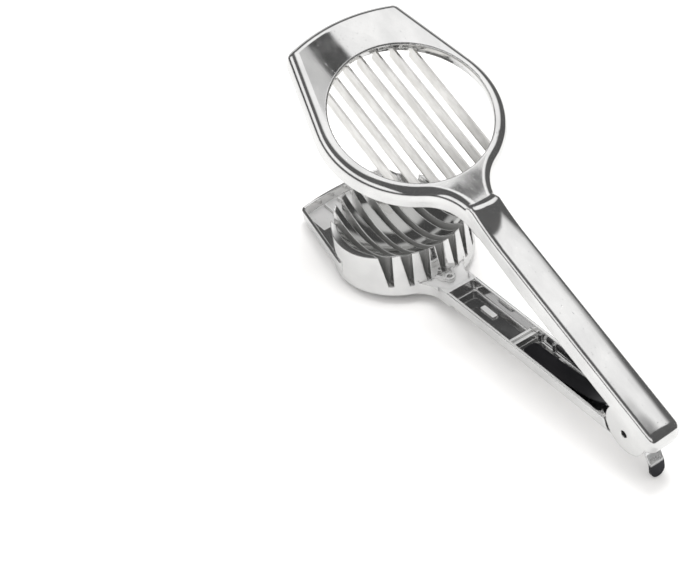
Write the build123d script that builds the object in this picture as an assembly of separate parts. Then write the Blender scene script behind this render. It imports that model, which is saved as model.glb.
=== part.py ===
from build123d import *
import os
from math import atan2, acos, cos, degrees, hypot, radians, sin, sqrt

# A tongs-type egg slicer in cast aluminium, lying open on a table.
# Each casting is drawn in its own frame: the hinge pin's axis is Y through the origin,
# +X runs forward to the jaws and +Z is up. build() then sets them in the row frame,
# with the jaws open and the nose tipped down on the table.
# All sizes are in millimetres and degrees.

# Pose
OPEN_ANGLE = 25.5          # between the castings at rest
PIN_R = 1.5

# Bowl of the lower casting
BOWL_X = 141.5             # bowl centre, forward of the pin
BOWL_BASE_R = 29.0         # the outer wall narrows upwards
BOWL_TOP_R = 27.5
BOWL_BASE_Z = -6.0
BOWL_TOP_Z = 15.0
BASE_EDGE = 1.5            # rounding under the bowl and the handle
CRADLE_LOW_Z = 2.0         # lowest point of the hollow that holds the egg
CRADLE_R = 37.6
SIDE_DIP_Z = 11.3          # the side walls are lower than the rib ends
SIDE_DIP_R = 114.0

# Blades and the slots that they pass through
BLADES = 7
BLADE_PITCH = 6.62
BLADE_T = 0.8
BLADE_LOW_Z = 2.0
BLADE_TOP_Z = 8.6
BEVEL_H = 1.4
TAB_DEPTH = 1.6            # how far a blade's end sits in the ring
SLOT_FLOOR_Z = -1.0
SLOT_FLOOR_W = 1.7
SLOT_TOP_W = 4.3

# Front flange of the lower casting
FLANGE_FRONT_X = 188.0
FLANGE_HALF = 21.0
FLANGE_BOW = 2.5
FLANGE_TOP_Z = 3.0
FLANGE_LOW_Z = -2.5
FLANGE_FLOOR_Z = -1.0
FLANGE_RIM = 1.3
FLANGE_RIB_T = 1.2
FLANGE_RIB_TOP_Z = 0.2
FLANGE_RIB_GAP = 3.2       # from the ribs' ends to the flange's front edge

# Handle of the lower casting
HANDLE_HALF_FRONT = 7.3
HANDLE_HALF_REAR = 6.8
HANDLE_REAR_X = 7.5
CHEEK_CLEARANCE = 0.4
HANDLE_TOP_Z = 0.4
HANDLE_LOW_Z = -5.6        # the bar stands a little higher off the table than the bowl
NECK_FLARE_R = 12.0
CHANNEL_WALL = 1.1
CHANNEL_FLOOR_Z = -4.3
CHANNEL = (13.5, 101.5)
CHANNEL_ROOT_R = 0.8       # rounding between the channel's floor and its walls
RIB = (62.6, 66.2)         # cross rib in front of the spring, with a groove in its top
RIB_TOP_Z = -1.9
RIB_GROOVE_W = 1.2
BOSSES = ((52.0, 0.9), (60.2, 1.2))    # place and radius of each boss on the near wall
BOSS_Z = (-4.8, -0.4)
BADGE_AT = (86.0, -0.9)
BADGE_SIZE = (8.4, 2.5)
BADGE_CORNER = 0.8
BADGE_RISE = 0.7
BAR_EDGE = 1.8             # rounding under the bar
WEB_REAR_Z = -2.2          # the recess behind the bowl slopes up towards the bowl
WEB_FRONT_Z = -0.3
WEB_REAR_HALF = 5.0
WEB_FRONT_HALF = 11.5
WEB_BOSS_R = 2.1
WEB_HOLE_R = 1.1           # blind hole in the boss
GUSSET_T = 1.0
GUSSET_ANGLE = 24.0
TAIL_HALF = 4.45
TAIL_R = 5.4

# Frame and ring of the upper casting
RING_X = 140.0
OPENING_R = 31.0
RING_R = 36.5
LIP_LOW_Z = 10.4           # a lip round the opening hides the blades' ends
UNDER_R = 34.0             # inside of the ring below the lip
FRAME_FRONT_X = 190.0
FRAME_HALF = 25.0
FRAME_BOW = 4.5
FRAME_TOP_Z = 13.0
FRAME_LOW_Z = 5.0
FRAME_EDGE = 4.2
NECK_R = 18.0

# Handle of the upper casting
ARM_HALF = 6.65
ARM_REAR_X = -12.0
ARM_LOW_Z = 4.0
ARM_TOP_Z = 12.9
LEVEL_X = 76.0             # the top is level from the rear end to here, then sweeps up
RIDGE_Z = 14.8
RIDGE_X = 93.0
RIDGE_ROUND = 3.0
STEP_SLOPE = 0.62
CROWN = 1.2                # height of the dome across the arm
ARM_EDGE = 2.2
REAR_EDGE = 4.5
REAR_CORNER = 3.0          # rounding of the arm's rear end, seen from above
CHEEK_R = 9.7
CHEEK_CENTRE = (0.3, 2.0)
CHEEK_IN = 4.75            # inside face of a hinge cheek
ROOF_Z = 10.4              # inside face of the arm's top
ARM_WALL = 1.6

# Leaf spring and latch
SPRING_HALF = 3.7
SPRING_T = 0.6
SPRING_ROOT = (-3.0, 4.8)  # stretch of the strip that lies flat under the arm's roof
SPRING_TIP_X = 60.5
SPRING_BOW = [(34.0, -2.6), (22.0, -0.9), (14.5, 2.2)]
SPRING_BENDS = [40, 60, 60, 14, 5]
SPRING_RIVET_X = 0.0
SPRING_RIVET_R = 1.1
LATCH_T = 1.3
LATCH_HALF = 3.0
LATCH_PIN = (-5.0, 7.8)
LATCH_PIN_R = 1.0
LATCH_BARREL_R = 2.1
LATCH_BARREL_HALF = 3.6
LATCH_LINE = [(-6.4, 6.9), (-8.2, 3.4), (-8.2, -3.2), (-12.7, -6.6), (-15.6, -11.9)]
LATCH_BENDS = [2.0, 3.0, 2.0]

# Fits
PIN_PLAY = 0.05
PIN_INSET = 0.5            # a pin's end is this far below the outside of its cheek


def prism(sketch, low, high):
    """Extrude a plan sketch between two heights."""
    return extrude(Pos(0, 0, low) * sketch, amount=high - low)


def side_prism(points, half):
    """Extrude a closed outline of (x, z) points to both sides of the middle plane."""
    return extrude(make_face(Polyline(*points, close=True).edges()), amount=half, both=True)


def outline_xz(points):
    """Closed outline in the XZ plane as 3-D points."""
    return [(x, 0, z) for x, z in points]


def round_bar(radius, half, x=0.0, z=0.0):
    """Cylinder along Y."""
    return Pos(x, 0, z) * Rot(90, 0, 0) * Cylinder(radius, 2 * half)


def block(x0, x1, y0, y1, z0, z1):
    """Box between two corners."""
    return Pos((x0 + x1) / 2, (y0 + y1) / 2, (z0 + z1) / 2) * Box(x1 - x0, y1 - y0, z1 - z0)


def blade_rows():
    """Middle planes of the blades, from the near side to the far side."""
    middle = (BLADES - 1) / 2
    return [(middle - i) * BLADE_PITCH for i in range(BLADES)]


def shield(front_x, half, bow, centre_x, radius, corner_r):
    """Plan of a jaw: bowed front edge, straight sides that run onto a circle."""
    corner_x = front_x - bow
    reach = hypot(corner_x - centre_x, half)
    angle = atan2(half, corner_x - centre_x) + acos(radius / reach)
    side = (centre_x + radius * cos(angle), radius * sin(angle))
    far_side = (side[0], -side[1])
    edges = [
        ThreePointArc((corner_x, half), (front_x, 0), (corner_x, -half)),
        Line((corner_x, -half), far_side),
        ThreePointArc(far_side, (centre_x - radius, 0), side),
        Line(side, (corner_x, half)),
    ]
    face = make_face(Wire(edges).edges())
    corners = [v for v in face.vertices() if abs(v.X - corner_x) < 0.01]
    return fillet(corners, corner_r)


def bar_plan(x0, x1, half0, half1):
    """Plan of a handle that tapers from x1 to x0."""
    points = [(x0, -half0), (x1, -half1), (x1, half1), (x0, half0)]
    return make_face(Polyline(*points, close=True).edges())


def flared(plan, bar, radius, near_x):
    """Join a handle's plan to a jaw's plan with a concave curve on both sides."""
    joined = plan + bar
    inner = [v for v in joined.vertices() if abs(v.X - near_x) < 4 and abs(v.Y) < 9]
    return fillet(inner, radius)


# ---------------------------------------------------------------- lower casting

def handle_half(x):
    """Half width of the lower handle at a distance from the pin."""
    share = (x - HANDLE_REAR_X) / (BOWL_X - BOWL_BASE_R - HANDLE_REAR_X)
    return HANDLE_HALF_REAR + share * (HANDLE_HALF_FRONT - HANDLE_HALF_REAR)


def bowl_body():
    """Solid bowl with its egg-shaped hollow, before the slots."""
    height = BOWL_TOP_Z - BOWL_BASE_Z
    body = Cone(BOWL_BASE_R, BOWL_TOP_R, height)
    body = fillet(body.edges().sort_by(Axis.Z)[0], BASE_EDGE)
    body = Pos(BOWL_X, 0, (BOWL_TOP_Z + BOWL_BASE_Z) / 2) * body
    body -= Pos(BOWL_X, 0, CRADLE_LOW_Z + CRADLE_R) * Sphere(CRADLE_R)
    body -= round_bar(SIDE_DIP_R, 40, BOWL_X, SIDE_DIP_Z + SIDE_DIP_R)
    return body


def slot_cutter(y):
    """Wedge that cuts one blade slot, open at the front, the rear and the top."""
    rise = BOWL_TOP_Z - SLOT_FLOOR_Z
    low, high = SLOT_FLOOR_W / 2, SLOT_TOP_W / 2
    points = [(0, y - low, 0), (0, y + low, 0), (0, y + high, rise), (0, y - high, rise)]
    face = make_face(Polyline(*points, close=True).edges())
    length = 2 * BOWL_BASE_R + 4
    start = BOWL_X - length / 2
    return extrude(Pos(start, 0, SLOT_FLOOR_Z) * face, amount=length, dir=(1, 0, 0))


def flange():
    """Shallow tray in front of the bowl, with a thin raised rim."""
    bowl_r = BOWL_BASE_R
    outer = shield(FLANGE_FRONT_X, FLANGE_HALF, FLANGE_BOW, BOWL_X, bowl_r, 3.0)
    inner = offset(outer, -FLANGE_RIM)
    tray = prism(outer, FLANGE_LOW_Z, FLANGE_TOP_Z)
    tray = fillet(tray.edges().group_by(Axis.Z)[0], 1.2)
    tray -= prism(inner, FLANGE_FLOOR_Z, FLANGE_TOP_Z + 1)
    end = FLANGE_FRONT_X - FLANGE_RIB_GAP
    half = FLANGE_RIB_T / 2
    for y in blade_rows()[1:-2]:
        middle = y - BLADE_PITCH / 2
        tray += block(BOWL_X, end, middle - half, middle + half, FLANGE_FLOOR_Z - 0.5, FLANGE_RIB_TOP_Z)
    behind = BOWL_X + 2
    return tray - block(BOWL_X - 60, behind, -60, 60, -20, 20)


def lower_handle():
    """Handle bar with the two open channels in its top."""
    bar = bar_plan(HANDLE_REAR_X, BOWL_X, HANDLE_HALF_REAR, handle_half(BOWL_X))
    disc = Pos(BOWL_X, 0) * Circle(BOWL_BASE_R - 0.9)
    plan = flared(disc, bar, NECK_FLARE_R, BOWL_X - BOWL_BASE_R)
    body = prism(plan, BOWL_BASE_Z, HANDLE_TOP_Z)
    body -= block(0, BOWL_X - BOWL_BASE_R - 12, -20, 20, BOWL_BASE_Z - 1, HANDLE_LOW_Z)
    body = body - Pos(BOWL_X, 0, 0) * Cylinder(BOWL_BASE_R - 2.5, 40)
    long_edges = body.edges().filter_by(lambda e: e.bounding_box().max.Z < HANDLE_LOW_Z + 0.01)
    sides = [e for e in long_edges if e.length > 60 and abs(e.center().Y) > 4]
    body = fillet(sides, BAR_EDGE)
    body -= round_bar(CHEEK_R + CHEEK_CLEARANCE, 12, *CHEEK_CENTRE)
    body -= channel_cutter()
    body += cross_rib()
    body += badge()
    for x, radius in BOSSES:
        wall_y = CHANNEL_WALL + 0.4 - handle_half(x)
        body += Pos(x, wall_y) * prism(Circle(radius), *BOSS_Z)
    return body


def channel_cutter():
    """Open channel with drafted walls, rounded ends and a rounded floor edge."""
    start, end = CHANNEL
    half = handle_half((start + end) / 2) - CHANNEL_WALL
    plan = Pos((start + end) / 2, 0) * RectangleRounded(end - start, 2 * half, 2.0)
    depth = HANDLE_TOP_Z - CHANNEL_FLOOR_Z
    cutter = extrude(Pos(0, 0, HANDLE_TOP_Z) * plan, amount=-depth, taper=7)
    cutter = fillet(cutter.edges().group_by(Axis.Z)[0], CHANNEL_ROOT_R)
    return cutter + prism(plan, HANDLE_TOP_Z - 0.01, HANDLE_TOP_Z + 1)


def cross_rib():
    """Low rib across the channel with a groove in its top."""
    start, end = RIB
    half = handle_half(start) - CHANNEL_WALL / 2
    rib = block(start, end, -half, half, CHANNEL_FLOOR_Z - 0.5, RIB_TOP_Z)
    middle = (start + end) / 2
    groove = RIB_GROOVE_W / 2
    return rib - block(middle - groove, middle + groove, -half + 1, half - 1, RIB_TOP_Z - 1.0, 1)


def badge():
    """Blank raised plate in the front channel."""
    plate = Pos(*BADGE_AT) * RectangleRounded(*BADGE_SIZE, BADGE_CORNER)
    return prism(plate, CHANNEL_FLOOR_Z - 0.4, CHANNEL_FLOOR_Z + BADGE_RISE)


def web():
    """Recess behind the bowl that leaves a small boss and two gussets standing."""
    rear = CHANNEL[1] + CHANNEL_WALL + 0.4
    front = BOWL_X - BOWL_BASE_R + 2.5
    plan = bar_plan(rear, front, WEB_REAR_HALF, WEB_FRONT_HALF)
    slope = outline_xz([(rear - 1, WEB_REAR_Z), (front + 1, WEB_FRONT_Z), (front + 1, 3), (rear - 1, 3)])
    cut = prism(plan, WEB_REAR_Z - 1, HANDLE_TOP_Z + 1) & side_prism(slope, 20)
    boss_x = (rear + front) / 2 + 0.4
    cut -= Pos(boss_x, 0, 0) * Cylinder(WEB_BOSS_R, 12)
    cut += Pos(boss_x, 0, HANDLE_TOP_Z) * Cylinder(WEB_HOLE_R, 4.4)
    half = GUSSET_T / 2
    for side in (1, -1):
        gusset = block(0, 9, -half, half, -6, HANDLE_TOP_Z + 2)
        cut -= Pos(boss_x, 2.0 * side, 0) * Rot(0, 0, GUSSET_ANGLE * side) * gusset
    return cut


def tail():
    """Tongue of the lower casting that turns between the cheeks."""
    lug = round_bar(TAIL_R, TAIL_HALF)
    lug += block(0, CHANNEL[0] + 0.5, -TAIL_HALF, TAIL_HALF, -TAIL_R, HANDLE_TOP_Z)
    return lug


def lower_casting():
    """Bowl, flange, handle and tail in one casting."""
    bowl = bowl_body()
    handle = lower_handle() - web()
    reach = Pos(BOWL_X - 0.35, 0, 0) * Cylinder(BOWL_BASE_R - 0.4, 40)
    for y in blade_rows():
        cutter = slot_cutter(y)
        bowl -= cutter
        handle -= cutter & reach
    tray = flange() - Pos(BOWL_X, 0, 0) * Cylinder(BOWL_BASE_R - 2.0, 60)
    body = handle + tail() + bowl + tray
    return body - round_bar(PIN_R + PIN_PLAY, TAIL_HALF + 1)


# ---------------------------------------------------------------- upper casting

def frame_plan():
    """Plan of the frame and the flare that joins it to the arm."""
    jaw = shield(FRAME_FRONT_X, FRAME_HALF, FRAME_BOW, RING_X, RING_R, 4.0)
    arm = bar_plan(RIDGE_X - 6, RING_X, ARM_HALF, ARM_HALF)
    return flared(jaw, arm, NECK_R, RING_X - RING_R)


def frame():
    """Ring and front plate with a rounded outer edge."""
    body = prism(frame_plan(), FRAME_LOW_Z, FRAME_TOP_Z)
    rim = [e for e in body.edges().group_by(Axis.Z)[-1] if e.center().X > RIDGE_X - 5]
    body = fillet(rim, FRAME_EDGE)
    opening = Pos(RING_X, 0, 0) * Cylinder(OPENING_R, 60)
    body -= opening
    body -= Pos(RING_X, 0, LIP_LOW_Z - 30) * Cylinder(UNDER_R, 60)
    lip = [e for e in body.edges() if e.geom_type == GeomType.CIRCLE
           and abs(e.radius - OPENING_R) < 0.01 and e.center().Z > FRAME_TOP_Z - 0.1]
    return fillet(lip, 0.7)


def crowned_bar():
    """Bar whose top is slightly domed from side to side and follows the arm's top line."""
    edge = ARM_TOP_Z - CROWN
    corner = (0, ARM_HALF, edge)
    far_corner = (0, -ARM_HALF, edge)
    section = Wire([
        ThreePointArc(corner, (0, 0, ARM_TOP_Z), far_corner),
        Line(far_corner, (0, -ARM_HALF, -6)),
        Line((0, -ARM_HALF, -6), (0, ARM_HALF, -6)),
        Line((0, ARM_HALF, -6), corner),
    ])
    start = ARM_REAR_X - 2
    level = extrude(Pos(start, 0, 0) * make_face(section.edges()), amount=LEVEL_X - start, dir=(1, 0, 0))
    rise = RIDGE_Z - ARM_TOP_Z
    run = RIDGE_X - LEVEL_X
    sweep_r = (run * run + rise * rise) / (2 * rise)
    turn = degrees(atan2(run, sweep_r - rise)) + 5
    axis = Axis((LEVEL_X, 0, ARM_TOP_Z + sweep_r), (0, -1, 0))
    climb = revolve(Pos(LEVEL_X, 0, 0) * make_face(section.edges()), axis, turn)
    return level + climb


def arm():
    """Arm with its domed top, the ridge at the neck and the hinge cheeks."""
    step_low = FRAME_TOP_Z - 0.3
    above = RIDGE_Z + 4
    step_x = RIDGE_X + (RIDGE_Z - step_low) / STEP_SLOPE
    profile = outline_xz([
        (ARM_REAR_X, ARM_LOW_Z + 0.6), (ARM_REAR_X, above), (RIDGE_X - 4 / STEP_SLOPE, above),
        (step_x, step_low), (step_x, FRAME_LOW_Z + 1),
        (RIDGE_X - 9, FRAME_LOW_Z + 0.6), (60, ARM_LOW_Z),
    ])
    body = side_prism(profile, ARM_HALF + 1) & crowned_bar()
    rear = [e for e in body.edges() if e.center().X < ARM_REAR_X + 0.1
            and e.center().Z > ARM_TOP_Z - CROWN - 0.1]
    body = fillet(rear, REAR_EDGE)
    crest = [e for e in body.edges() if abs(e.center().Y) < 0.1 and e.center().Z > RIDGE_Z - 0.6]
    body = fillet(crest, RIDGE_ROUND)
    low = ARM_TOP_Z - CROWN - REAR_EDGE / 2
    top = [e for e in body.edges() if abs(abs(e.center().Y) - ARM_HALF) < 0.3
           and e.center().Z > low and e.length > 0.3]
    body = fillet(top, ARM_EDGE)
    plan = bar_plan(ARM_REAR_X, RING_X, ARM_HALF, ARM_HALF)
    corners = [v for v in plan.vertices() if v.X < ARM_REAR_X + 0.1]
    body = body & prism(fillet(corners, REAR_CORNER), -10, RIDGE_Z + 4)
    cheeks = round_bar(CHEEK_R, ARM_HALF, *CHEEK_CENTRE)
    return body + (cheeks & block(-20, 20, -10, 10, -20, ARM_TOP_Z - CROWN - ARM_EDGE - 0.1))


def arm_hollow():
    """Space inside the arm: between the cheeks at the rear, wider in front of them."""
    inner = ARM_HALF - ARM_WALL
    rear = block(ARM_REAR_X + 1.8, 14, -CHEEK_IN, CHEEK_IN, -20, ROOF_Z)
    front = block(13.9, RIDGE_X - 7, -inner, inner, -20, ROOF_Z + 0.6)
    return rear + front


def blade_length(y, radius):
    """Half chord of a circle about the ring's centre."""
    return sqrt(radius * radius - y * y)


def blade_notch(y):
    """Slot through the ring's wall that holds both ends of one blade."""
    reach = blade_length(y, UNDER_R + TAB_DEPTH)
    half = BLADE_T / 2
    return block(RING_X - reach, RING_X + reach, y - half, y + half, FRAME_LOW_Z - 1, BLADE_TOP_Z)


def upper_casting():
    """Frame, arm and cheeks in one casting."""
    body = frame() + arm()
    body -= arm_hollow()
    for y in blade_rows():
        body -= blade_notch(y)
    body -= round_bar(PIN_R, ARM_HALF + 1)
    body -= round_bar(LATCH_PIN_R, CHEEK_IN + 0.8, *LATCH_PIN)
    body -= Pos(SPRING_RIVET_X, 0, ROOF_Z) * Cylinder(SPRING_RIVET_R, 2.4)
    return body


def blade(y):
    """One blade: bevelled below, with a shorter tab at each end."""
    clear = blade_length(y, UNDER_R - 0.4)
    reach = blade_length(y, UNDER_R + TAB_DEPTH)
    half = BLADE_T / 2
    edge = 0.08
    section = [(0, y - edge, BLADE_LOW_Z), (0, y + edge, BLADE_LOW_Z),
               (0, y + half, BLADE_LOW_Z + BEVEL_H), (0, y + half, BLADE_TOP_Z),
               (0, y - half, BLADE_TOP_Z), (0, y - half, BLADE_LOW_Z + BEVEL_H)]
    face = make_face(Polyline(*section, close=True).edges())
    body = extrude(Pos(RING_X - clear, 0, 0) * face, amount=2 * clear, dir=(1, 0, 0))
    tabs = block(RING_X - reach, RING_X + reach, y - half, y + half, FRAME_LOW_Z + 0.3, BLADE_TOP_Z)
    return body + tabs


# ---------------------------------------------------------------- hinge, spring and latch

def hinge_pin():
    """Pin pressed in the cheeks, just below their outside faces."""
    pin = round_bar(PIN_R, ARM_HALF - PIN_INSET)
    return chamfer(pin.edges().filter_by(GeomType.CIRCLE), 0.25)


def turned(x, z, angle):
    """Turn an (x, z) point about the pin, nose up for a positive angle."""
    a = radians(angle)
    return (x * cos(a) - z * sin(a), x * sin(a) + z * cos(a))


def leaf_spring():
    """Strip riveted under the arm's roof, bowed down to the floor of the lower handle."""
    low = CHANNEL_FLOOR_Z + SPRING_T / 2 + PIN_PLAY
    roof = ROOF_Z - SPRING_T / 2
    root = [turned(x, roof, OPEN_ANGLE) for x in reversed(SPRING_ROOT)]
    path = outline_xz([(SPRING_TIP_X, low), (47, low + 0.35)] + SPRING_BOW + root)
    line = FilletPolyline(*path, radius=SPRING_BENDS)
    section = Plane(path[0], x_dir=(0, 1, 0), z_dir=(-1, 0, 0)) * Rectangle(2 * SPRING_HALF, SPRING_T)
    strip = sweep(section, path=line)
    nose = [e for e in strip.edges() if e.center().X > SPRING_TIP_X - 0.5
            and e.length < 2 * SPRING_T and abs(e.center().Y) > 1]
    hole = Pos(SPRING_RIVET_X, 0, ROOF_Z) * Cylinder(SPRING_RIVET_R + 0.05, 6)
    return fillet(nose, 2.0) - Rot(0, -OPEN_ANGLE, 0) * hole


def spring_rivet():
    """Rivet that holds the spring under the roof."""
    shank = Pos(SPRING_RIVET_X, 0, ROOF_Z + 0.3) * Cylinder(SPRING_RIVET_R, 1.8)
    head = Pos(SPRING_RIVET_X, 0, ROOF_Z - SPRING_T - 0.4) * Cylinder(2.0, 0.8)
    return shank + head


def latch_lever():
    """Bent strip on the latch pin; its rounded tongue hangs out below the cheeks."""
    x, z = LATCH_PIN
    barrel = round_bar(LATCH_BARREL_R, LATCH_BARREL_HALF, x, z)
    path = outline_xz(LATCH_LINE)
    line = FilletPolyline(*path, radius=LATCH_BENDS)
    first = Vector(path[1]) - Vector(path[0])
    section = Plane(path[0], x_dir=(0, 1, 0), z_dir=first)
    strip = sweep(section * Rectangle(2 * LATCH_HALF, LATCH_T), path=line)
    tip = [e for e in strip.edges() if e.center().Z < -10 and e.length < 1.5 * LATCH_T
           and abs(e.center().Y) > 1]
    strip = fillet(tip, LATCH_HALF - 0.1)
    return barrel + strip - round_bar(LATCH_PIN_R + PIN_PLAY, 5, x, z)


def latch_pin():
    """Pin of the latch, held in blind holes inside the cheeks."""
    return round_bar(LATCH_PIN_R, CHEEK_IN + 0.7, *LATCH_PIN)


# ---------------------------------------------------------------- assembly

def nose_tilt():
    """Angle by which the tool tips forward when it lies on its bowl and its latch."""
    x, z = LATCH_LINE[-1]
    tip_x, tip_z = turned(x - 0.3, z - 0.3, OPEN_ANGLE)
    rest_x = BOWL_X + BOWL_BASE_R - BASE_EDGE
    return degrees(atan2(BOWL_BASE_Z - tip_z, rest_x - tip_x))


def build():
    """All nodes, in the row frame before it is centred."""
    lower = Rot(0, nose_tilt(), 0)
    upper = lower * Rot(0, -OPEN_ANGLE, 0)
    nodes = {
        "lower_casting": lower * lower_casting(),
        "upper_casting": upper * upper_casting(),
        "hinge_pin": upper * hinge_pin(),
        "leaf_spring": lower * leaf_spring(),
        "spring_rivet": upper * spring_rivet(),
        "latch_lever": upper * latch_lever(),
        "latch_pin": upper * latch_pin(),
    }
    for number, y in enumerate(blade_rows(), start=1):
        nodes[f"blade_{number}"] = upper * blade(y)
    return nodes


def main():
    nodes = build()
    whole = Compound(children=[Compound(s.solids()) for s in nodes.values()]).bounding_box()
    centre = whole.center()
    home = Pos(-centre.X, -centre.Y, -whole.min.Z)
    os.makedirs("parts", exist_ok=True)
    for name, shape in nodes.items():
        export_step(home * shape, f"parts/{name}.step")
    pin = (home * Pos(0, 0, 0)).position
    print("tilt", round(nose_tilt(), 3), "pin", pin, "size", whole.size)


main()
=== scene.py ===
import math

import bmesh
import bpy
from mathutils import Matrix, Vector


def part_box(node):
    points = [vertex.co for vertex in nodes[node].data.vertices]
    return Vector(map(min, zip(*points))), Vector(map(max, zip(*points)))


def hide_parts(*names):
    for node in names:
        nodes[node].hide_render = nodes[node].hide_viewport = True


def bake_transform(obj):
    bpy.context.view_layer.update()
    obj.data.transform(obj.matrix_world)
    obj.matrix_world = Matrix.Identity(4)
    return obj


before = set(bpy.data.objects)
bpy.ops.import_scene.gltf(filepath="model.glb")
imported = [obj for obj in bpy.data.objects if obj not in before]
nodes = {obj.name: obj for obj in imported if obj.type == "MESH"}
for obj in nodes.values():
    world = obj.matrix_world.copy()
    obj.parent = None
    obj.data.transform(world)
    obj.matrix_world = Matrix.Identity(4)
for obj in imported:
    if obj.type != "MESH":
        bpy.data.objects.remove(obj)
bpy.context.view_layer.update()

MM = 0.001

# Camera: its place from the hinge pin, and its axes in the row frame
CAMERA_FROM_PIN = Vector((-0.27673, 0.25356, 0.41458))
CAMERA_BACK = (-0.65149, 0.34518, 0.67558)
CAMERA_UP = (0.52092, -0.44387, 0.72913)
LENS_MM = 84.83

# How far each casting leans from level at rest, in degrees: nose up is positive
LOWER_LEAN = -3.81
UPPER_LEAN = 21.69

# What the metal reflects. A stop is (cosine of the angle from an aim, brightness).
# The ceiling light is round CEILING_AIM, in a dark room.
CEILING_AIM = (0.25, -0.31, 1.0)
ROOM_STOPS = [(0.0, 0.075), (0.72, 0.075), (0.81, 0.09), (0.865, 0.85), (0.92, 0.98), (1.0, 1.0)]
# It stops short of the horizon, and behind the tool in a straight edge (-1 to 1 as 0 to 1)
CEILING_LOW_STOPS = [(0.0, 0.075), (0.62, 0.075), (0.70, 1.0)]
CEILING_REAR_STOPS = [(0.0, 0.075), (0.40, 0.075), (0.415, 1.0)]
# A light backdrop stands beyond the jaws, by the sine of the height above the horizon
BACKDROP_AIM = (0.88, -0.47, 0)
BACKDROP_SPREAD = [(0.70, 0.0), (0.85, 1.0)]
BACKDROP_STOPS = [(0.0, 0.7), (0.26, 0.7), (0.36, 0.0)]
# A window is on the near side (+Y), by the same sine
WINDOW_SPREAD = [(0.45, 0.0), (0.52, 1.0)]
WINDOW_STOPS = [(0.0, 0.0), (0.20, 0.0), (0.24, 1.0), (0.58, 1.0), (0.63, 0.0)]

# Lights on what isn't metal: an even white fill and a soft box above
FILL = 1.1
KEY_AT = (0.03, -0.15, 0.8)
KEY_SIZE = 0.3
KEY_POWER = 3.2

# The floor is white, and greyer where the metal reflects it
FLOOR_SIZE = 1.2
FLOOR_WHITE = (0.95, 0.94, 0.93, 1)
FLOOR_REFLECTED = (0.72, 0.72, 0.715, 1)

# Cards that show in the metal: the spot in the upper casting's frame in mm, the distance from it,
# the size along and across in metres, and the brightness
CARDS = {
    "card_frame": ((181, 12.5, 13), 0.12, 0.045, 0.013, 0.02),
    "card_side": ((176, 23.2, 13), 0.12, 0.055, 0.0125, 0.6),
    "card_neck": ((102, 1, 13), 0.4, 0.016, 0.040, 0.12),
}

# Places on the lower casting in mm. A patch is middle and half size along, then across.
BADGE = (86, 4.0, -0.9, 1.15)
TRAY = (178.6, 7.9, 0, 19.5)
RIB = (64.4, 1.9, 0, 5.3)
WEB = (108.0, 6.5, 0, 10.0)
RIMS = [(57.0, 47.0, side * 6.5, 0.35) for side in (1, -1)]
CHANNEL = (57.0, 45.0, 0, 5.9)
BOWL = (141.5, 27.0)           # middle along, and radius

# Finishes: how far each shading rounds sharp edges, and the limits of roughness
CAST_EDGE = 0.7 * MM
BLADE_EDGE = 0.12 * MM
STRIP_EDGE = 0.15 * MM
LATCH_EDGE = 0.25 * MM
POLISHED_ROUGHNESS = 0.05
MATT_ROUGHNESS = 0.42
CAST_METALLIC = 0.97

PIN_LOW, PIN_HIGH = (Vector(corner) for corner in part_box("hinge_pin"))
PIN_AT = (PIN_LOW + PIN_HIGH) / 2
CAMERA_AT = PIN_AT + CAMERA_FROM_PIN


# ---------------------------------------------------------------- studio

def add_camera():
    """Camera above the hinge end, looking down the tool."""
    back = Vector(CAMERA_BACK).normalized()
    right = Vector(CAMERA_UP).cross(back).normalized()
    up = back.cross(right)
    data = bpy.data.cameras.new("camera")
    data.lens = LENS_MM
    data.sensor_width = 36.0
    data.sensor_fit = "HORIZONTAL"
    data.clip_start = 0.01
    data.dof.use_dof = False
    camera = bpy.data.objects.new("camera", data)
    turn = Matrix((right, up, back)).transposed().to_4x4()
    camera.matrix_world = Matrix.Translation(CAMERA_AT) @ turn
    bpy.context.scene.collection.objects.link(camera)
    bpy.context.scene.camera = camera


def area_light(name, at, target, size, power):
    """Square soft box that faces a target."""
    data = bpy.data.lights.new(name, "AREA")
    data.energy = power
    data.size = size
    lamp = bpy.data.objects.new(name, data)
    lamp.location = at
    lamp.visible_glossy = False
    lamp.visible_camera = False
    lamp.rotation_euler = (Vector(target) - Vector(at)).to_track_quat("-Z", "Y").to_euler()
    bpy.context.scene.collection.objects.link(lamp)


def ramp(tree, value, stops):
    """Grey ramp through (position, level) stops."""
    node = tree.nodes.new("ShaderNodeValToRGB")
    elements = node.color_ramp.elements
    while len(elements) < len(stops):
        elements.new(0.5)
    for element, (position, level) in zip(elements, stops):
        element.position = position
        element.color = (level, level, level, 1)
    tree.links.new(value, node.inputs["Fac"])
    return node.outputs["Color"]


def maths(tree, operation, *operands, clamp=False):
    """One maths node. Each operand is a socket or a number."""
    node = tree.nodes.new("ShaderNodeMath")
    node.operation = operation
    node.use_clamp = clamp
    for socket, value in zip(node.inputs, operands):
        if isinstance(value, (int, float)):
            socket.default_value = value
        else:
            tree.links.new(value, socket)
    return node.outputs["Value"]


def dot(tree, vector, direction):
    """Dot product of a vector socket and a fixed direction."""
    node = tree.nodes.new("ShaderNodeVectorMath")
    node.operation = "DOT_PRODUCT"
    tree.links.new(vector, node.inputs[0])
    node.inputs[1].default_value = Vector(direction).normalized()
    return node.outputs["Value"]


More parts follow.
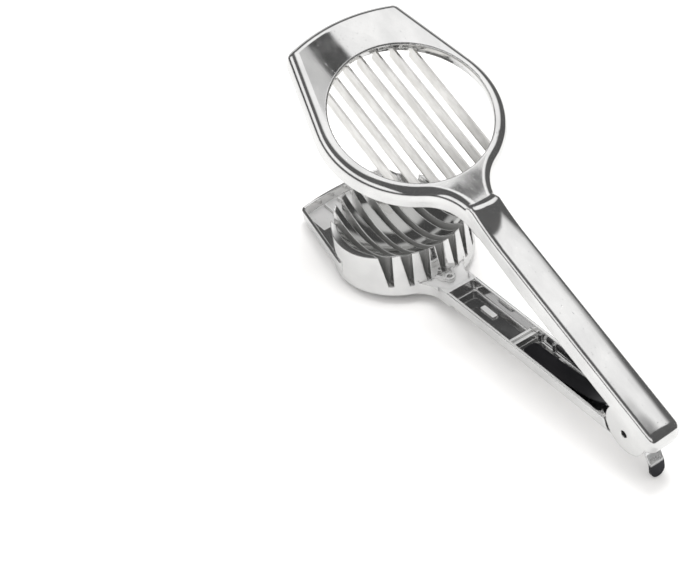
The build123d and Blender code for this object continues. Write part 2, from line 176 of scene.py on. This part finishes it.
def add_world():
    """Even white, but the metal reflects a dark room with a ceiling light, a backdrop and a window."""
    world = bpy.data.worlds.new("studio")
    world.use_nodes = True
    tree = world.node_tree
    background = tree.nodes["Background"]
    coords = tree.nodes.new("ShaderNodeTexCoord").outputs["Generated"]
    room = ramp(tree, dot(tree, coords, CEILING_AIM), ROOM_STOPS)
    height = dot(tree, coords, (0, 0, 1))
    ahead = maths(tree, "MULTIPLY_ADD", dot(tree, coords, (1, 0, 0)), 0.5, 0.5)
    for value, stops in ((height, CEILING_LOW_STOPS), (ahead, CEILING_REAR_STOPS)):
        room = maths(tree, "MINIMUM", room, ramp(tree, value, stops))
    far = ramp(tree, dot(tree, coords, BACKDROP_AIM), BACKDROP_SPREAD)
    backdrop = maths(tree, "MULTIPLY", ramp(tree, height, BACKDROP_STOPS), far)
    near = ramp(tree, dot(tree, coords, (0, 1, 0)), WINDOW_SPREAD)
    window = maths(tree, "MULTIPLY", ramp(tree, height, WINDOW_STOPS), near)
    seen = maths(tree, "MAXIMUM", maths(tree, "MAXIMUM", room, backdrop), window)
    light_path = tree.nodes.new("ShaderNodeLightPath")
    pick = tree.nodes.new("ShaderNodeMix")
    pick.data_type = "RGBA"
    pick.inputs[6].default_value = (FILL, FILL, FILL, 1)
    tree.links.new(light_path.outputs["Is Glossy Ray"], pick.inputs["Factor"])
    tree.links.new(seen, pick.inputs[7])
    tree.links.new(pick.outputs[2], background.inputs["Color"])
    bpy.context.scene.world = world


def leaned(lean):
    """Rotation from a casting's own frame to the row frame."""
    return Matrix.Rotation(math.radians(-lean), 3, "Y")


def on_casting(x, y, z, lean):
    """Row-frame place of a point given in a casting's own frame, in mm from the pin."""
    return PIN_AT + leaned(lean) @ Vector((x, y, z)) * MM


def square(name, size):
    """Flat square of one face, in the collection."""
    mesh = bpy.data.meshes.new(name)
    shape = bmesh.new()
    bmesh.ops.create_grid(shape, x_segments=1, y_segments=1, size=size / 2)
    shape.to_mesh(mesh)
    shape.free()
    thing = bpy.data.objects.new(name, mesh)
    bpy.context.scene.collection.objects.link(thing)
    return thing


def plain_material(name):
    """New material, and its main shader with no gloss of its own."""
    material = bpy.data.materials.new(name)
    material.use_nodes = True
    shader = material.node_tree.nodes["Principled BSDF"]
    shader.inputs["Specular IOR Level"].default_value = 0.0
    return material, shader


def card_seen_at(name, spot, away, along, across, level):
    """Grey card that shows in the metal at one spot of the upper casting, and nowhere directly."""
    card = square(name, 1.0)
    point = on_casting(*spot, UPPER_LEAN)
    sight = (point - CAMERA_AT).normalized()
    bounce = sight.reflect(leaned(UPPER_LEAN) @ Vector((0, 0, 1)))
    side = bounce.cross(leaned(UPPER_LEAN) @ Vector((1, 0, 0))).normalized()
    forward = side.cross(bounce)
    frame_axes = Matrix((forward * along, side * across, bounce)).transposed().to_4x4()
    card.matrix_world = Matrix.Translation(point + bounce * away) @ frame_axes
    card.visible_camera = False
    card.visible_diffuse = False
    card.visible_shadow = False
    material, shader = plain_material(name)
    shader.inputs["Base Color"].default_value = (0, 0, 0, 1)
    shader.inputs["Emission Color"].default_value = (level, level, level, 1)
    shader.inputs["Emission Strength"].default_value = 1.0
    card.data.materials.append(material)


def add_floor():
    """White floor, painted greyer for glossy rays: a painted reflection, so the metal shows it darker.
    """
    floor = square("floor", FLOOR_SIZE)
    material, shader = plain_material("floor_white")
    tree = material.node_tree
    mix = tree.nodes.new("ShaderNodeMix")
    mix.data_type = "RGBA"
    mix.inputs[6].default_value = FLOOR_WHITE
    mix.inputs[7].default_value = FLOOR_REFLECTED
    light_path = tree.nodes.new("ShaderNodeLightPath")
    tree.links.new(light_path.outputs["Is Glossy Ray"], mix.inputs["Factor"])
    tree.links.new(mix.outputs[2], shader.inputs["Base Color"])
    shader.inputs["Roughness"].default_value = 0.9
    floor.data.materials.append(material)


# ---------------------------------------------------------------- materials

class Finish:
    """Node tree of one metal, with its coordinates turned along the part."""

    def __init__(self, name, lean, metallic=1.0):
        self.pin = leaned(-lean) @ PIN_AT
        self.material = bpy.data.materials.new(name)
        self.material.use_nodes = True
        self.tree = self.material.node_tree
        self.shader = self.tree.nodes["Principled BSDF"]
        self.shader.inputs["Metallic"].default_value = metallic
        coords = self.tree.nodes.new("ShaderNodeTexCoord")
        turn = self.tree.nodes.new("ShaderNodeMapping")
        turn.vector_type = "POINT"
        turn.inputs["Rotation"].default_value = (0, math.radians(lean), 0)
        self.tree.links.new(coords.outputs["Object"], turn.inputs["Vector"])
        self.along = turn.outputs["Vector"]

    def stretched(self, scale):
        """Coordinates scaled by a number for each axis."""
        node = self.tree.nodes.new("ShaderNodeMapping")
        node.inputs["Scale"].default_value = scale
        self.tree.links.new(self.along, node.inputs["Vector"])
        return node.outputs["Vector"]

    def noise(self, scale, detail=3.0, roughness=0.55):
        """Noise with its own scale along the part, across it and up."""
        node = self.tree.nodes.new("ShaderNodeTexNoise")
        node.inputs["Scale"].default_value = 1.0
        node.inputs["Detail"].default_value = detail
        node.inputs["Roughness"].default_value = roughness
        self.tree.links.new(self.stretched(scale), node.inputs["Vector"])
        return node.outputs["Fac"]

    def maths(self, operation, *operands, clamp=False):
        return maths(self.tree, operation, *operands, clamp=clamp)

    def ramp(self, value, stops):
        return ramp(self.tree, value, stops)

    def facing(self, direction):
        """How much a face looks in a direction, before any bump or rounding."""
        plain = self.tree.nodes.new("ShaderNodeNewGeometry").outputs["Normal"]
        return dot(self.tree, plain, direction)

    def bump(self, height, distance, strength, normal=None):
        """Normal with a height pattern on it."""
        node = self.tree.nodes.new("ShaderNodeBump")
        node.inputs["Distance"].default_value = distance
        node.inputs["Strength"].default_value = strength
        self.tree.links.new(height, node.inputs["Height"])
        if normal is not None:
            self.tree.links.new(normal, node.inputs["Normal"])
        return node.outputs["Normal"]

    def soft_edges(self, radius):
        """Normal that rounds every sharp edge by a small radius."""
        node = self.tree.nodes.new("ShaderNodeBevel")
        node.samples = 6
        node.inputs["Radius"].default_value = radius
        return node.outputs["Normal"]

    def edge_mask(self, soft):
        """White where the rounded normal leaves the flat one: the edges, used for wear and, inside the
        bowl, for painted highlights.
        """
        plain = self.tree.nodes.new("ShaderNodeNewGeometry").outputs["Normal"]
        node = self.tree.nodes.new("ShaderNodeVectorMath")
        node.operation = "DOT_PRODUCT"
        self.tree.links.new(soft, node.inputs[0])
        self.tree.links.new(plain, node.inputs[1])
        return self.ramp(node.outputs["Value"], [(0.75, 1.0), (0.97, 0.0)])

    def patch(self, x, half_x, y, half_y):
        """White on faces that look up inside a rectangle of the part's plan, in mm from the pin."""
        forward = dot(self.tree, self.along, (1, 0, 0))
        across = dot(self.tree, self.along, (0, 1, 0))
        inside_x = self.maths("COMPARE", forward, self.pin.x + x * MM, half_x * MM)
        inside_y = self.maths("COMPARE", across, y * MM, half_y * MM)
        level = self.ramp(self.facing((0, 0, 1)), [(0.9, 0.0), (0.97, 1.0)])
        return self.maths("MULTIPLY", self.maths("MULTIPLY", inside_x, inside_y), level)

    def well(self, x, radius):
        """White inside an upright cylinder, in mm, whose axis is x forward of the pin."""
        forward = self.maths("SUBTRACT", dot(self.tree, self.along, (1, 0, 0)), self.pin.x + x * MM)
        across = dot(self.tree, self.along, (0, 1, 0))
        squares = [self.maths("MULTIPLY", side, side) for side in (forward, across)]
        reach = self.maths("SQRT", self.maths("ADD", *squares))
        return self.ramp(self.maths("DIVIDE", reach, 2 * radius * MM), [(0.46, 1.0), (0.5, 0.0)])

    def walls(self):
        """White on faces that look to either side, such as the walls of the blade slots."""
        side = self.maths("ABSOLUTE", self.facing((0, 1, 0)))
        return self.ramp(side, [(0.85, 0.0), (0.95, 1.0)])

    def colour(self, mask, low, high):
        """Mix of two colours by a mask, set as the base colour. Each is a socket or three numbers."""
        node = self.tree.nodes.new("ShaderNodeMix")
        node.data_type = "RGBA"
        for socket, value in ((node.inputs[6], low), (node.inputs[7], high)):
            if isinstance(value, tuple):
                socket.default_value = (*value, 1)
            else:
                self.tree.links.new(value, socket)
        self.tree.links.new(mask, node.inputs["Factor"])
        self.tree.links.new(node.outputs[2], self.shader.inputs["Base Color"])
        return node.outputs[2]

    def rough(self, value, low, high):
        """Roughness between two levels."""
        span = self.maths("MULTIPLY", value, high - low)
        total = self.maths("ADD", span, low, clamp=True)
        self.tree.links.new(total, self.shader.inputs["Roughness"])

    def normal(self, socket):
        """Normal of the whole surface."""
        self.tree.links.new(socket, self.shader.inputs["Normal"])


def cast_aluminium(name, lean, matt=(), channel=None, bowl=None):
    """Hand-polished die casting: buffing lines, cloudy gloss, small pits, soft edges.

    The patches in matt are left as cast. The channel's floor and the inside of the bowl are painted
    darker, as painted shade in these hollows. Inside the bowl the rib edges get a painted highlight
    and the
    slot walls painted light: they keep a light colour and are made less metallic, so they take the
    white fill."""
    finish = Finish(name, lean, CAST_METALLIC)
    soft = finish.soft_edges(CAST_EDGE)
    edges = finish.edge_mask(soft)
    clouds = finish.noise((70, 110, 110), detail=4)
    lines = finish.noise((50, 2600, 2600), detail=2, roughness=0.7)
    wave = finish.noise((55, 90, 90), detail=1)
    pits = finish.ramp(finish.noise((1300, 1300, 1300), detail=1), [(0.20, 0.0), (0.27, 1.0)])
    tone = finish.maths("MULTIPLY", finish.ramp(clouds, [(0.3, 0.55), (0.65, 1.0)]), pits)
    base = finish.colour(tone, (0.62, 0.62, 0.62), (0.89, 0.885, 0.878))
    as_cast = 0.0
    for place in matt:
        as_cast = finish.maths("MAXIMUM", as_cast, finish.patch(*place))
    # Painted shade: the channel's floor, a recess, is painted a darker grey, except where it is left
    # as cast.
    if channel is not None:
        shaded = finish.maths("SUBTRACT", finish.patch(*channel), as_cast, clamp=True)
        base = finish.colour(shaded, base, (0.45, 0.45, 0.45))
    dull = 0.0
    if bowl is not None:
        # Painted shade: the inside of the bowl is painted a darker grey.
        inside = finish.well(*bowl)
        # Painted light: inside the bowl the slot walls and the rib edges are made less metallic, so
        # they take the white fill.
        dull = finish.maths("MULTIPLY", inside, finish.maths("MAXIMUM", finish.walls(), edges))
        base = finish.colour(inside, base, (0.48, 0.48, 0.47))
        # Painted highlight: the rib edges inside the bowl keep a light colour.
        finish.colour(finish.maths("MULTIPLY", inside, edges), base, (0.92, 0.92, 0.91))
    scuffed = finish.maths("MULTIPLY", finish.ramp(clouds, [(0.35, 0.0), (0.7, 0.26)]), lines)
    handled = finish.maths("MAXIMUM", scuffed, finish.maths("MULTIPLY", edges, 0.1))
    finish.rough(finish.maths("MAXIMUM", handled, as_cast), POLISHED_ROUGHNESS, MATT_ROUGHNESS)
    skin = finish.maths("MULTIPLY", as_cast, 0.45)
    # Metallic is lowered where left as cast, and as painted light on the bowl's slot walls and rib
    # edges.
    skin_and_painted_light = finish.maths("MAXIMUM", skin, finish.maths("MULTIPLY", dull, 0.5))
    metal = finish.maths("SUBTRACT", CAST_METALLIC, skin_and_painted_light)
    finish.tree.links.new(metal, finish.shader.inputs["Metallic"])
    waved = finish.bump(wave, 0.6 * MM, 0.15, soft)
    lined = finish.bump(lines, 0.012 * MM, 0.08, waved)
    finish.normal(finish.bump(pits, 0.05 * MM, 0.25, lined))
    return finish.material


def brushed_blade():
    """Satin strip steel, brushed along its length."""
    finish = Finish("blade_steel", UPPER_LEAN)
    soft = finish.soft_edges(BLADE_EDGE)
    lines = finish.noise((40, 3500, 3500), detail=3, roughness=0.7)
    stains = finish.ramp(finish.noise((120, 400, 260), detail=3), [(0.35, 0.0), (0.65, 1.0)])
    finish.colour(stains, (0.67, 0.66, 0.64), (0.85, 0.84, 0.82))
    finish.rough(lines, 0.22, 0.42)
    finish.normal(finish.bump(lines, 0.01 * MM, 0.35, soft))
    return finish.material


def dark_spring_steel():
    """Blued spring strip with a rubbed edge."""
    finish = Finish("spring_steel", LOWER_LEAN)
    soft = finish.soft_edges(STRIP_EDGE)
    edges = finish.edge_mask(soft)
    stains = finish.noise((90, 300, 300), detail=4)
    lines = finish.noise((50, 3000, 3000), detail=2)
    worn = finish.maths("MAXIMUM", finish.maths("MULTIPLY", stains, 0.12), edges)
    finish.colour(worn, (0.025, 0.024, 0.028), (0.20, 0.20, 0.20))
    finish.rough(finish.maths("MULTIPLY", stains, lines), 0.28, 0.6)
    finish.normal(finish.bump(lines, 0.01 * MM, 0.3, soft))
    return finish.material


def pin_steel():
    """Turned steel, nearly black, with a slightly lighter mottle."""
    finish = Finish("pin_steel", UPPER_LEAN)
    soft = finish.soft_edges(STRIP_EDGE)
    pin_noise = finish.noise((900, 900, 900), detail=3)
    pin_mottle = finish.ramp(pin_noise, [(0.4, 0.0), (0.7, 1.0)])
    finish.colour(pin_mottle, (0.006, 0.006, 0.006), (0.03, 0.03, 0.03))
    finish.rough(pin_noise, 0.4, 0.8)
    finish.normal(finish.bump(pin_noise, 0.02 * MM, 0.3, soft))
    return finish.material


def latch_steel():
    """Bright strip whose rounded end is painted dark, as painted shade where the end turns away from
    the light.
    """
    finish = Finish("latch_steel", UPPER_LEAN)
    soft = finish.soft_edges(LATCH_EDGE)
    lines = finish.noise((1500, 2600, 60), detail=2)
    stains = finish.noise((300, 300, 300), detail=3)
    coords = finish.tree.nodes.new("ShaderNodeTexCoord").outputs["Object"]
    low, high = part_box("latch_lever")
    risen = finish.maths("SUBTRACT", dot(finish.tree, coords, (0, 0, 1)), low[2])
    share = finish.maths("DIVIDE", risen, high[2] - low[2])
    wavy = finish.maths("ADD", share, finish.maths("MULTIPLY", stains, 0.04))
    # Painted shade: below a height the rounded end is painted near black; above it the strip is
    # bright.
    bright = finish.ramp(wavy, [(0.26, 0.0), (0.30, 1.0)])
    finish.colour(bright, (0.035, 0.035, 0.04), (0.86, 0.86, 0.86))
    finish.rough(finish.maths("MULTIPLY", stains, lines), 0.2, 0.6)
    finish.normal(finish.bump(lines, 0.01 * MM, 0.3, soft))
    return finish.material


# ---------------------------------------------------------------- leaf spring

# Middle of the strip from its free end to its root, (x, z) in mm from the pin, on the lower casting
SPRING_LINE = [(60.6, -3.95), (58.5, -3.94), (52, -3.8), (43, -3.4), (33, -2.45), (22, -0.75),
               (14.5, 2.3), (8, 6.2), (2.3, 9.74), (-0.05, 10.45), (-2.5, 10.0), (-7.0, 7.85)]
SPRING_HALF = 3.35
SPRING_T = 0.6
SPRING_CORNER = 2.0
SPRING_CHAMFER = 0.1
SPRING_STEPS = 8
BEND_FROM_X = 24           # in front of here the strip lies on the lower casting
BEND_TO_X = 2              # behind here it meets the upper casting; the mesh is fixed and does not turn with it


def curve_at(t, a, b, c, d):
    """Catmull-Rom value at a share t of the way from b to c."""
    bend = 2 * a - 5 * b + 4 * c - d
    twist = 3 * b - a - 3 * c + d
    return 0.5 * (2 * b + (c - a) * t + bend * t * t + twist * t ** 3)


def smooth_line(points, steps):
    """Points along a Catmull-Rom curve through the given (x, z) points."""
    ends = [points[0]] + list(points) + [points[-1]]
    line = []
    for a, b, c, d in zip(ends, ends[1:], ends[2:], ends[3:]):
        for i in range(steps):
            line.append(tuple(curve_at(i / steps, *values) for values in zip(a, b, c, d)))
    line.append(tuple(points[-1]))
    return line


def spring_section(travelled):
    """Outline across the strip as (y, height) points. The free end has rounded corners."""
    short = max(0.0, SPRING_CORNER - travelled)
    half = SPRING_HALF - SPRING_CORNER + math.sqrt(max(0.0, SPRING_CORNER ** 2 - short ** 2))
    thick = SPRING_T / 2
    cut = SPRING_CHAMFER
    side = [(half - cut, thick), (half, thick - cut), (half, cut - thick), (half - cut, -thick)]
    return side + [(-y, height) for y, height in reversed(side)]


def leaf_spring(material):
    """Bent strip between the castings, as one fixed mesh in place of the CAD spring."""
    line = smooth_line(SPRING_LINE, SPRING_STEPS)
    shape = bmesh.new()
    rows = []
    travelled = 0.0
    for before, here, after in zip([line[0]] + line, line, line[1:] + [line[-1]]):
        travelled += math.dist(before, here)
        along = Vector((after[0] - before[0], after[1] - before[1])).normalized()
        row = []
        for y, height in spring_section(travelled):
            spot = (here[0] + along.y * height, y, here[1] - along.x * height)
            row.append(shape.verts.new(on_casting(*spot, LOWER_LEAN)))
        rows.append(row)
    for row, following in zip(rows, rows[1:]):
        for i in range(len(row)):
            shape.faces.new((row[i - 1], row[i], following[i], following[i - 1]))
    shape.faces.new(rows[0])
    shape.faces.new(reversed(rows[-1]))
    bmesh.ops.recalc_face_normals(shape, faces=shape.faces)
    mesh = bpy.data.meshes.new("spring_strip")
    shape.to_mesh(mesh)
    shape.free()
    mesh.shade_smooth()
    mesh.set_sharp_from_angle(angle=math.radians(35))
    mesh.materials.append(material)
    strip = bpy.data.objects.new("spring_strip", mesh)
    bpy.context.scene.collection.objects.link(strip)
    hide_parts("leaf_spring")
    start = on_casting(BEND_FROM_X, 0, 0, LOWER_LEAN)
    on_casting(BEND_TO_X, 0, 0, LOWER_LEAN)
    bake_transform(strip)


def dress(node, material):
    """Give a CAD node one material."""
    for slot in nodes[node].material_slots:
        slot.link = "OBJECT"
        slot.material = material


def dress_all():
    """Materials of all the pieces, and the spring's own mesh."""
    matt = (BADGE, TRAY, RIB, WEB, *RIMS)
    dress("lower_casting", cast_aluminium("aluminium_lower", LOWER_LEAN, matt, CHANNEL, BOWL))
    dress("upper_casting", cast_aluminium("aluminium_upper", UPPER_LEAN))
    blade = brushed_blade()
    for number in range(1, 8):
        dress(f"blade_{number}", blade)
    leaf_spring(dark_spring_steel())
    pin = pin_steel()
    for name in ("hinge_pin", "latch_pin", "spring_rivet"):
        dress(name, pin)
    dress("latch_lever", latch_steel())


add_camera()
add_world()
add_floor()
for card, place in CARDS.items():
    card_seen_at(card, *place)
area_light("key", KEY_AT, (0, 0, 0), KEY_SIZE, KEY_POWER)
bpy.context.scene.view_settings.view_transform = "Standard"
dress_all()
